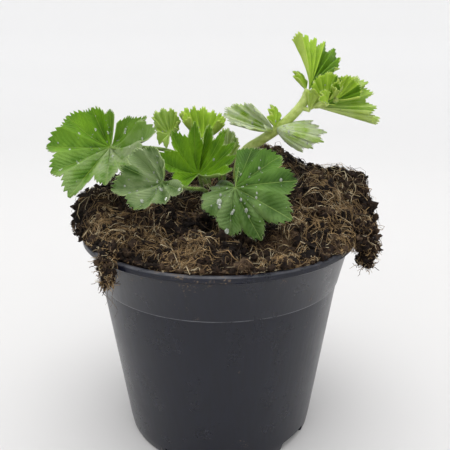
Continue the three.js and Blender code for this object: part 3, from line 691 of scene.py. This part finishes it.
def make_crumbs():
    """Crumbs and clods all over the mound and in the clumps that hang over the lip."""
    draw = random.Random(7)
    small = [crumb_template(seed, 1) for seed in range(6)]
    large = [crumb_template(seed, 2) for seed in range(6)]
    bm = bmesh.new()
    spots = []
    for count, least, more, rarity, farthest, stand in (CRUMBS, CLODS):
        for _ in range(count):
            angle, way = surface_place(draw)
            size = least + more * draw.random() ** rarity
            point = on_mound(angle, min(way, farthest), stand * size)
            spots.append((point, size, dryness(point) + draw.uniform(-0.3, 0.3) > DRY_FROM))
    for clump in HANGING_CLUMPS:
        for x, y, z, radius in clump:
            for _ in range(int(5 * radius**1.6)):
                away = scatter(draw, 1).normalized() * radius * draw.random() ** 0.4
                point = Vector((x, y, z)) + away
                size = draw.uniform(0.6, 2.1)
                if outside_pot(point, size + 0.2):
                    spots.append((point, size, draw.random() < 0.45))
    for i, (point, size, pale) in enumerate(spots):
        mesh = (large if size > ROUNDER_FROM else small)[2 * (i % 3) + pale]
        turn = Matrix.Rotation(draw.uniform(0, 6.28), 4, "Z") @ Matrix.Rotation(draw.uniform(0, 6.28), 4, "X")
        shape = Matrix.Diagonal((size, size * draw.uniform(0.6, 1.1), size * draw.uniform(0.5, 1), 1))
        place = Matrix.Translation(point) @ turn @ shape
        mesh.transform(place)
        bm.from_mesh(mesh)
        mesh.transform(place.inverted())
    piece("peat_crumbs", mesh_from(bm), [PEAT, PEAT_CRUMB])


def lying_fibre(draw, angle, way, heading, length, arch, turn_rate):
    """A fibre that runs over the mound, rising between its ends by arch."""
    points = []
    steps = 5
    for i in range(steps):
        t = i / (steps - 1)
        lift = 0.15 + arch * sin(pi * t)
        points.append(on_mound(angle, way, lift))
        reach = soil_reach(angle)
        pace = length / (steps - 1)
        radius = max(way * reach, 4)
        angle += degrees(pace * sin(heading) / radius)
        way = min(max(way + pace * cos(heading) / reach, 0.02), 1.35)
        heading += turn_rate + draw.uniform(-0.35, 0.35)
    return points


def fibre_radii(thickness, count):
    """Radii along a fibre, thinner towards both ends."""
    bends = [sin(pi * (0.15 + 0.7 * i / (count - 1))) for i in range(count)]
    return [thickness * (0.55 + 0.45 * bend) for bend in bends]


def make_fibres():
    draw = random.Random(19)
    groups = [[], [], []]
    for i in range(FIBRES):
        angle, way = surface_place(draw)
        point = mound_point(angle, way)
        if noise.noise(point / 11 + Vector((7, 0, 0))) < -0.2 and draw.random() < 0.85:
            continue
        golden = dryness(point) + draw.uniform(-0.4, 0.4)
        look = sum(golden >= step for step in (-0.1, 0.25, 0.5))
        length = 4 + 15 * draw.random() ** 1.8
        arch = draw.uniform(0, 1.6) if draw.random() < 0.8 else draw.uniform(1.5, 5)
        heading = 2.6 * noise.noise(point / 15) * pi + draw.gauss(0, 0.8)
        points = lying_fibre(draw, angle, way, heading, length, arch, draw.gauss(0, 0.3))
        thickness = 0.08 + 0.2 * draw.random() ** 2
        groups[i % 3].append((points, fibre_radii(thickness, len(points)), look))
    places = [(*place, True) for place in GOLDEN_TUFTS]
    while len(places) < TUFTS:
        angle, way = surface_place(draw)
        places.append((angle, max(way, 0.45), False))
    for i, (angle, way, golden) in enumerate(places):
        heading = draw.uniform(0, 6.28)
        look = 2 if golden else draw.choice([0, 1, 1, 2])
        for _ in range(TUFT_FIBRES):
            start = (angle + draw.gauss(0, 4.0), min(1.05, way + draw.gauss(0, 0.05)))
            course = (heading + draw.gauss(0, 0.6), draw.uniform(4, 13), draw.uniform(0.3, 3.6))
            points = lying_fibre(draw, *start, *course, draw.gauss(0, 0.3))
            shade = look if draw.random() < 0.6 else draw.choice([0, 1, 1, 2, 3])
            groups[i % 3].append((points, fibre_radii(draw.uniform(0.09, 0.2), len(points)), shade))
    for letter, group in zip("abc", groups):
        strand_piece("peat_fibres_" + letter, group, FIBRE_LOOKS)


def make_hanging_fibres():
    """The fibres and fine roots that hang in the clumps over the lip."""
    draw = random.Random(31)
    strands = []
    for clump in HANGING_CLUMPS:
        along = (Vector(clump[-1][:3]) - Vector(clump[0][:3])).normalized()
        for _ in range(150 * len(clump)):
            spot = draw.choice(clump)
            away = scatter(draw, 1).normalized() * spot[3] * draw.uniform(0.5, 1.05)
            point = Vector(spot[:3]) + away
            direction = (along + scatter(draw, 0.9)).normalized()
            points = []
            pace = draw.uniform(0.6, 1.6)
            for _ in range(5):
                if outside_pot(point, 0.3):
                    points.append(point.copy())
                point = point + direction * pace
                direction = (direction + scatter(draw, 0.5) - Vector((0, 0, 0.1))).normalized()
            if len(points) > 2:
                look = draw.choice([0, 1, 1, 2, 2, 2, 3])
                strands.append((points, fibre_radii(draw.uniform(0.1, 0.24), len(points)), look))
    for x, y, z, drop in ((-56.5, -71, 124, 12), (-58.5, -71, 126, 12), (-54, -72, 124, 17)):
        bends = [(0, 0, 0), (-1.2, -0.8, 0.4), (1, -0.5, 0.75), (-0.6, -1, 1)]
        points = smooth_way([(x + dx, y + dy, z - drop * share) for dx, dy, share in bends], 4)
        strands.append((points, [0.16 - 0.1 * i / len(points) for i in range(len(points))], 1))
    strand_piece("hanging_fibres", strands, FIBRE_LOOKS)


# Plant


def leaf_axes(leaf):
    """Across the blade, out along its middle lobe, and up from it."""
    heading, pitch, roll = map(radians, leaf["aim"])
    tip = Vector((cos(heading) * cos(pitch), sin(heading) * cos(pitch), sin(pitch)))
    level = Vector((sin(heading), -cos(heading), 0))
    upright = level.cross(tip)
    across = level * cos(roll) + upright * sin(roll)
    return across, tip, across.cross(tip)


def with_cuts(**leaf):
    """A leaf with the reach and lift of each cut between its lobes, and of both sides of its sinus."""
    padded = {key: (leaf[key][0], *leaf[key], leaf[key][-1]) for key in ("reach", "lift")}
    means = {key: [(a + b) / 2 for a, b in zip(row, row[1:])] for key, row in padded.items()}
    depths = leaf.get("cuts", [LOBE_DEPTH] * len(means["reach"]))
    reach = [mean * (1 - depth) for mean, depth in zip(means["reach"], depths)]
    lift = [mean - leaf.get("fold", 0) for mean in means["lift"]]
    return {**leaf, "cut_reach": reach, "cut_lift": lift}


def blade_point(leaf, axes, angle, share, notch=0.0):
    """A point of the blade, at an angle in degrees from its middle lobe and a share of the way out."""
    lobes = len(leaf["reach"])
    width = leaf["span"] / lobes
    middle = (lobes - 1) / 2
    lobe = min(max(floor(angle / width + middle + 0.5), 0), lobes - 1)
    aside = (angle - (lobe - middle) * width) / (width / 2)
    off = abs(aside)
    cut = lobe + 1 if aside > 0 else lobe
    tip_reach, tip_lift = leaf["reach"][lobe], leaf["lift"][lobe]
    reach = tip_reach + (leaf["cut_reach"][cut] - tip_reach) * off ** leaf.get("roundness", ROUNDNESS)
    lift = tip_lift + (leaf["cut_lift"][cut] - tip_lift) * off * off * (3 - 2 * off)
    turn = radians(angle)
    slope = leaf.get("pleat", PLEAT) * (sqrt(off * off + 0.01) - 0.5)
    share *= 1 - notch
    distance = leaf["radius"] * reach * share
    local = Vector((sin(turn), cos(turn), slope)).normalized() * distance
    local.z += lift * share ** leaf.get("rise", LIFT_POWER)
    across, tip, up = axes
    return Vector(leaf["at"]) + across * local.x + tip * local.y + up * local.z


def tooth_notch(step, teeth):
    """How deep the margin is cut at a step across a lobe: each tooth leans towards the lobe's tip."""
    half = 3 * teeth // 2
    from_sinus = step if step <= half else 2 * half - step
    if from_sinus == half:
        return 0.0
    return (1.0, 0.45, 0.0)[from_sinus % 3] * TOOTH_DEPTH


def blade_mesh(leaf, rows):
    """The blade as a sheet in millimetres, with its upper skin, its underside and its edge."""
    axes = leaf_axes(leaf)
    lobes = len(leaf["reach"])
    teeth = leaf.get("teeth", 8)
    per_lobe = 3 * teeth
    columns = lobes * per_lobe
    bm = bmesh.new()
    bmesh.ops.create_grid(bm, x_segments=columns, y_segments=rows, size=0.5)
    layer = bm.loops.layers.uv.new("lobes")
    greyness = bm.verts.layers.float.new("bloom")
    greys = leaf.get("bloom", (0,))
    for face in bm.faces:
        for loop in face.loops:
            loop[layer].uv = ((loop.vert.co.x + 0.5) * lobes, loop.vert.co.y + 0.5)
    draw = random.Random(int(abs(leaf["at"][0]) * 10))
    seed = Vector([draw.uniform(0, 50) for _ in range(3)])
    for vert in bm.verts:
        column = round((vert.co.x + 0.5) * columns)
        place = column / columns * (len(greys) - 1)
        vert[greyness] = greys[int(place)] + (greys[ceil(place)] - greys[int(place)]) * (place % 1)
        share = (vert.co.y + 0.5) ** 0.85
        notch = tooth_notch(column % per_lobe, teeth) * max(0, (share - 0.8) / 0.2)
        angle = (column / columns - 0.5) * leaf["span"]
        point = blade_point(leaf, axes, angle, share, notch)
        wave = noise.noise(point / (0.3 * leaf["radius"]) + seed)
        vert.co = point + axes[2] * 0.03 * leaf["radius"] * share * wave
    bmesh.ops.remove_doubles(bm, verts=bm.verts, dist=0.001)
    bm.normal_update()
    upper = bm.faces[:]
    if upper[0].normal.dot(axes[2]) < 0 and sum(f.normal.dot(axes[2]) for f in upper) < 0:
        bmesh.ops.reverse_faces(bm, faces=upper)
    below = set(bmesh.ops.duplicate(bm, geom=bm.verts[:] + bm.edges[:] + bm.faces[:])["geom"])
    for vert in bm.verts:
        vert.co += vert.normal * (BLADE / 2) * (-1 if vert in below else 1)
    underside = [face for face in bm.faces if face in below]
    bmesh.ops.reverse_faces(bm, faces=underside)
    rim = bmesh.ops.bridge_loops(bm, edges=[e for e in bm.edges if e.is_boundary])["faces"]
    for face in underside + rim:
        face.material_index = 1
    return bm


HAIRS = []


def margin_hairs(leaf, draw):
    """Short down that stands out all round a blade's margin."""
    axes = leaf_axes(leaf)
    for _ in range(int(len(leaf["reach"]) * leaf["radius"] * 1.1)):
        angle = draw.uniform(-0.5, 0.5) * leaf["span"]
        edge = blade_point(leaf, axes, angle, 0.98)
        out = (edge - blade_point(leaf, axes, angle, 0.8)).normalized()
        way = (out + scatter(draw, 0.35)).normalized()
        tip = edge + way * draw.uniform(0.6, 1.3)
        HAIRS.append(([edge, tip], HAIR_RADII, 0))


def stalk_hairs(points, radius, draw, per_mm):
    """Down on a stalk: hairs that stand off it all round."""
    for a, b in zip(points, points[1:]):
        along = (b - a).normalized()
        for _ in range(int((b - a).length * per_mm + draw.random())):
            side = along.cross(scatter(draw, 1)).normalized()
            root = a.lerp(b, draw.random()) + side * radius * 0.9
            tip = root + (side + along * draw.uniform(-0.3, 0.5)).normalized() * draw.uniform(0.7, 1.4)
            HAIRS.append(([root, tip], HAIR_RADII, 0))


# A leaf has its place, its aim (heading, pitch and roll in degrees), and a reach and a lift for each lobe in
# turn. cuts are the depths between lobes, fold how far the cuts lie below the lobes, way the stalk, and the
# grey of the down and painted sheen across. Aims, reaches, lifts and cuts were mostly solved for from the
# photo, then rounded.
BASAL_LEAVES = [
    with_cuts(
        name="leaf_left", at=(-65.5, -4, 184.6), aim=(240, -24, 16), radius=33, span=335,
        reach=(0.45, 0.7, 1, 1.15, 1, 1.25, 1.15, 1.15, 0.95, 0.75, 0.4),
        lift=(19, 24, 27, 14, 3, -3, 0, 5, 15, 17, 20),
        cuts=(0.5, 0, 0.3, 0.2, 0.1, 0.25, 0.1, 0.15, 0.1, 0.1, 0.25, 0.2), fold=5,
        way=((-7, 4, BURIED_Z), (-10, 5, 164), (-26, 6, 179), (-46, 0, 184), (-58, -8, 184)),
        bloom=(0.1, 0.1, 0.3, 0.8, 0.7, 0.5, 0.2, 0.05, 0, 0, 0.1),
    ),
    with_cuts(
        name="leaf_lower_left", at=(-30.5, -46, 172.6), aim=(154, -28, 50), radius=21.2, span=320,
        reach=(0.95, 0.7, 0.95, 0.9, 0.45, 1, 0.75, 0.5), lift=(4, 2, 12, 21, 23, 15, 14, 9),
        cuts=(0.4, 0.2, 0.15, 0.2, 0.2, 0.35, 0.1, 0, 0.35), fold=4,
        way=((-6, -9, BURIED_Z), (-8, -15, 160), (-18, -32, 166)),
        bloom=(0.5,), age="older",
    ),
    with_cuts(
        name="leaf_centre", at=(-12, -14, 170.4), aim=(90, 24, -16), radius=19, span=310,
        reach=(1.15, 1.5, 1.25, 0.9, 1, 0.8, 0.9, 0.95, 1.15), lift=(6, 15, 24, 29, 27, 29, 27, 25, 23),
        cuts=(0.2, 0.25, 0.35, 0.25, 0.6, 0.3, 0.2, 0.25, 0.25, 0.1), fold=12, pleat=0.55, roundness=1.5,
        way=((-10, -4, BURIED_Z), (-10.5, -7, 160)),
    ),
    with_cuts(
        name="leaf_front", at=(8.5, -42, 168.4), aim=(282, -32, -40), radius=27.5, span=325,
        reach=(1, 1.1, 1.2, 1.25, 1, 0.9, 0.75, 0.75, 1), lift=(1, -3, -5, -9, -13, -7, 8, 4, -9),
        cuts=(0.05, 0.05, 0.15, 0.1, 0.3, 0.2, 0.15, 0.1, 0.2, 0.5), fold=4,
        way=((9, -8, BURIED_Z), (11, -7, 168), (13, -9, 181), (12, -22, 182), (10.5, -34, 177)),
        bloom=(0, 0, 0.05, 0.2, 0.2, 0.3, 0.3, 0.1), slimness=0.8, taper=0.35, age="older",
    ),
    with_cuts(
        name="leaf_back_left", at=(-31, 12, 190.6), aim=(118, 20, 23), radius=10, span=300,
        reach=(0.9, 0.95, 0.8, 1, 1.05, 1.05, 1, 0.9, 0.75),
        lift=(-3, -1, 9, 13, 13, 12, 12, 8, 5), pleat=0.5,
        way=((-5, 11, BURIED_Z), (-8, 13, 164), (-20, 15, 180)), teeth=6, age="young", bloom=(0.2,),
    ),
    with_cuts(
        name="leaf_back", at=(-10.3, 14, 187.8), aim=(92, 11, -3), radius=15, span=260,
        reach=(0.95, 1.05, 0.9, 0.95, 0.95, 0.85, 0.95, 0.95),
        lift=(14, 16, 16, 16, 15, 14, 14, 13), pleat=0.4,
        way=((1, 12, BURIED_Z), (0, 13, 164), (-5, 14, 178)), teeth=6, age="young",
    ),
    with_cuts(
        name="leaf_young_right", at=(4.2, 0, 176.2), aim=(78, 16, -16), radius=8, span=200,
        reach=(1.05, 1.05, 1, 1, 0.9, 0.8), lift=(17, 18, 17, 14, 11, 7), pleat=0.4,
        way=((2.5, 2, BURIED_Z), (3, 2, 164)), teeth=6, age="young", bloom=(0.4,),
    ),
]

STEM_WAY = [
    (12, 9, BURIED_Z), (12, 8.5, 168), (16, 5, 180.6), (26, 1.5, 188.3),
    (34, 0, 194), (42.7, 0, 201.6), (50, 0, 210), (53.5, 0, 218),
]

SHOOT_LEAVES = [
    with_cuts(
        name="lower_left", at=(31.8, -2, 194.7), aim=(117, -26, 57), radius=10.5, span=300,
        reach=(1, 0.8, 0.75, 0.95, 1, 1, 0.9, 0.75, 0.5),
        lift=(8, 15, 21, 25, 30, 28, 22, 20, 11), teeth=6, bloom=(0.9,),
    ),
    with_cuts(
        name="lower_right", at=(34.6, -4, 195.5), aim=(288, 34, -70), radius=12, span=280,
        reach=(1, 0.95, 0.9, 0.8, 0.95, 1, 0.85, 0.85, 0.65),
        lift=(-11, -16, -19, -22, -26, -25, -21, -17, -11), teeth=6, bloom=(0.8,),
    ),
    with_cuts(
        name="stipule", at=(33.5, -3, 196.6), aim=(121, 77, -28), radius=13, span=160,
        reach=(0.95, 0.95, 1.05, 1, 1), lift=(2, 1, 0, 0, 0), teeth=4,
    ),
    with_cuts(
        name="fan", at=(57, -6, 208.5), aim=(80, 0, -85), radius=20, span=230,
        reach=(0.75, 0.85, 0.95, 1.05, 1.1, 1.1, 0.85, 0.6, 0.35),
        lift=(14, 20, 26, 32, 33, 36, 36, 34, 31),
        cuts=(0.3, 0.18, 0.14, 0.12, 0.12, 0.14, 0.16, 0.2, 0.2, 0.3), rise=1,
        way=((52, 0, 212), (55, -3, 210)), bloom=(0.2,),
    ),
    with_cuts(
        name="upright", at=(53.3, 0, 217.9), aim=(90, 0, -22), radius=20, span=180,
        reach=(1.05, 1.05, 1, 1, 1.1, 1.15, 0.8, 0.55), lift=(25, 26, 27, 28, 28, 25, 20, 13),
        cuts=(0.1, 0.12, 0.14, 0.2, 0.22, 0.2, 0.2, 0.25, 0.3), rise=0.7, dark_from=4,
    ),
    with_cuts(
        name="tip", at=(52, 1.5, 217.5), aim=(148, 60, -5), radius=12, span=100,
        reach=(1.05, 1.15, 1.1, 0.95), lift=(0, 0, 0, 0), teeth=4,
    ),
    with_cuts(
        name="bud_left", at=(61.3, -12, 212.8), aim=(69, 26, -1), radius=9.5, span=240,
        reach=(0.9, 0.9, 1, 0.95, 0.95, 0.9), lift=(8, 11, 12, 13, 11, 8),
        way=((57, -6, 209), (59, -9, 211)), teeth=6, dark_from=4,
    ),
    with_cuts(
        name="bud_right", at=(68.1, -12, 213.4), aim=(75, 38, -42), radius=10, span=220,
        reach=(0.95, 0.95, 0.9, 1, 0.95, 0.8), lift=(6, 9, 11, 11, 11, 10),
        way=((57, -6, 209), (62, -9, 211.5)), teeth=6, dark_from=4,
    ),
    with_cuts(
        name="bud_front", at=(61.1, -16, 210.9), aim=(123, 64, -15), radius=8.5, span=200,
        reach=(1.1, 1, 0.95, 0.9, 0.9), lift=(2, 2, 2, 2, 1),
        way=((57, -6, 209), (59.5, -11, 209.5)), teeth=6, dark_from=3,
    ),
    with_cuts(
        name="sheath", at=(53.5, -4, 206.5), aim=(270, 10, 25), radius=7, span=250,
        reach=(1, 1, 1, 1, 1), lift=(9, 9, 9, 9, 9), rise=1,
        way=((48.5, 0, 207.5), (51.5, -2, 207)), teeth=4,
    ),
]


def add_stalk(bm, points, radius, taper, draw, hair_rate):
    """A stalk along a smooth way, joined into a piece's mesh in the third of its materials, with its down."""
    way = smooth_way(points, 6)
    radii = [radius * (1 + (taper - 1) * i / (len(way) - 1)) for i in range(len(way))]
    bm.from_mesh(curve_mesh([(way, radii, 2)], 12))
    open_part = [p for p in way if p.z > SOIL_LEVEL]
    stalk_hairs(open_part, radius * (1 + taper) / 2, draw, hair_rate)


def make_leaves():
    draw = random.Random(5)
    for leaf in BASAL_LEAVES:
        bm = blade_mesh(leaf, 24 if leaf["radius"] > BIG_LEAF else 16)
        radius = PETIOLE_RADIUS * leaf.get("slimness", 1.1)
        add_stalk(bm, [*leaf["way"], leaf["at"]], radius, leaf.get("taper", 0.85), draw, 6)
        margin_hairs(leaf, draw)
        top, below, slot_name = AGES[leaf.get("age", "mature")]
        piece(leaf["name"] + "_blade", mesh_from(bm), [top, below, PETIOLE], [leaf["name"]])


def make_shoot():
    draw = random.Random(6)
    bm = bmesh.new()
    for leaf in SHOOT_LEAVES:
        made = blade_mesh(leaf, 18 if leaf["radius"] > BIG_LEAF else 12)
        lobes = made.loops.layers.uv["lobes"]
        for face in made.faces:
            # Painted shade: the lobes that are turned away, or lie inside the rosette, take the darker mature
            # green for their shade.
            if face.material_index == 0 and face.loops[0][lobes].uv.x >= leaf.get("dark_from", 99):
                face.material_index = 3
        bm.from_mesh(mesh_from(made, 1))
        margin_hairs(leaf, draw)
        if "way" in leaf:
            add_stalk(bm, [*leaf["way"], leaf["at"]], PETIOLE_RADIUS * 1.2, 0.9, draw, 4)
    add_stalk(bm, STEM_WAY, STEM_RADIUS, 0.9, draw, 15)
    looks = [YOUNG_LEAF, YOUNG_UNDERSIDE, STALK, LEAF]
    piece("flowering_shoot", mesh_from(bm), looks, ["right_shoot"])


def make_rootstock():
    """The knobbly crown, sunk in the soil, that the stalks rise from."""
    bm = bmesh.new()
    for x, y, z, radius in ((1.5, -6, 155, 4.6), (2.5, -5.5, 159.5, 3.8)):
        place = Matrix.Translation((x, y, z))
        ball = bmesh.ops.create_icosphere(bm, subdivisions=4, radius=radius, matrix=place)
        for vert in ball["verts"]:
            away = vert.co - Vector((x, y, z))
            knobs = 0.5 * noise.noise(vert.co / 1.6) + 0.4 * noise.noise(vert.co / 4) - 0.2
            vert.co += away.normalized() * knobs
    piece("rootstock_crown", mesh_from(bm), [BARK], ["rootstock"])


def make_down():
    strand_piece("down", HAIRS, [DOWN])


def add_drop(bm, leaf, angle, share, radius):
    """A drop that stands on a blade."""
    axes = leaf_axes(leaf)
    point = blade_point(leaf, axes, angle, share)
    out = blade_point(leaf, axes, angle, share + 0.02) - point
    side = blade_point(leaf, axes, angle + 1.5, share) - point
    normal = side.cross(out).normalized()
    turn = normal.to_track_quat("Z", "Y").to_matrix().to_4x4()
    shape = Matrix.Diagonal((radius, radius * DROP_LENGTH, radius * DROP_HEIGHT, 1))
    place = Matrix.Translation(point + normal * (BLADE / 2 + radius * DROP_STAND)) @ turn @ shape
    bmesh.ops.create_icosphere(bm, subdivisions=2, radius=1, matrix=place)


# The drops that show most: the angle from the middle lobe, the share of the way out and the radius. Angles
# and shares were searched for from the photo, then rounded.
LARGE_DROPS = {
    "leaf_front": [
        (66, 0.56, 1.5), (60, 0.66, 1.0), (-8, 0.3, 0.9),
        (-5, 0.5, 1.1), (30, 0.54, 0.9), (40, 0.92, 1.3),
    ],
    "leaf_left": [(106, 0.52, 0.8), (49, 0.68, 0.7), (26, 0.86, 0.8), (-68, 0.88, 0.8)],
    "leaf_lower_left": [(-108, 0.9, 0.8), (-140, 0.9, 0.9), (-55, 0.72, 1.0)],
    "leaf_centre": [(148, 0.32, 1.1)],
}
SMALL_DROPS = {
    "leaf_left": 60, "leaf_lower_left": 40, "leaf_front": 46,
    "lower_left": 20, "lower_right": 22, "fan": 16,
}


def make_drops():
    """Drops that stand on the blades: the large ones, then small ones scattered over the skin."""
    draw = random.Random(12)
    bm = bmesh.new()
    for leaf in BASAL_LEAVES + SHOOT_LEAVES:
        for angle, share, size in LARGE_DROPS.get(leaf["name"], ()):
            add_drop(bm, leaf, angle, share, size)
        for _ in range(SMALL_DROPS.get(leaf["name"], 4)):
            angle = draw.uniform(-0.46, 0.46) * leaf["span"]
            share = draw.uniform(0.15, 0.9)
            size = 0.25 + 0.6 * draw.random() ** 4
            add_drop(bm, leaf, angle, share, size)
    piece("rain_drops", mesh_from(bm), [WATER])


# Studio


def make_studio():
    sweep = [(0, 0), (1200, 0), (1500, 15), (1800, 70), (2050, 190), (2200, 380), (2260, 620), (2280, 1300)]
    bm = spun(sweep, 96)
    bmesh.ops.recalc_face_normals(bm, faces=bm.faces)
    mesh = mesh_from(bm)
    mesh.materials.append(PAPER)
    mesh.shade_smooth()
    new_object("paper_sweep", mesh)


def add_light(name, place, target, size, power):
    data = bpy.data.lights.new(name, "AREA")
    data.shape = "DISK"
    data.size = size
    data.energy = power
    lamp = new_object(name, data)
    lamp.location = place
    lamp.rotation_euler = (Vector(target) - Vector(place)).to_track_quat("-Z", "Y").to_euler()
    lamp.visible_camera = False


def light_studio():
    world = bpy.data.worlds.new("studio_air")
    world.use_nodes = True
    background = world.node_tree.nodes["Background"]
    background.inputs["Color"].default_value = linear(AIR)
    background.inputs["Strength"].default_value = AIR_STRENGTH
    bpy.context.scene.world = world
    add_light("overhead", (0, -0.1, 1.5), (0, 0, 0.15), 1.3, OVERHEAD_WATTS)
    add_light("front", (-0.8, -1.1, 0.9), (0, 0, 0.15), 0.9, FRONT_WATTS)
    view = bpy.context.scene.view_settings
    view.view_transform = "Standard"
    view.look = "None"


def place_camera():
    data = bpy.data.cameras.new("camera")
    data.lens = 40
    data.sensor_width = 36
    data.clip_start = 0.01
    camera = new_object("camera", data)
    camera.location = (0, -0.306, 0.2312)
    camera.rotation_euler = (radians(72.4), 0, radians(-0.665))
    bpy.context.scene.camera = camera


place_camera()
make_studio()
light_studio()
make_pot()
make_mound()
make_crumbs()
make_fibres()
make_hanging_fibres()
make_rootstock()
make_leaves()
make_shoot()
make_down()
make_drops()
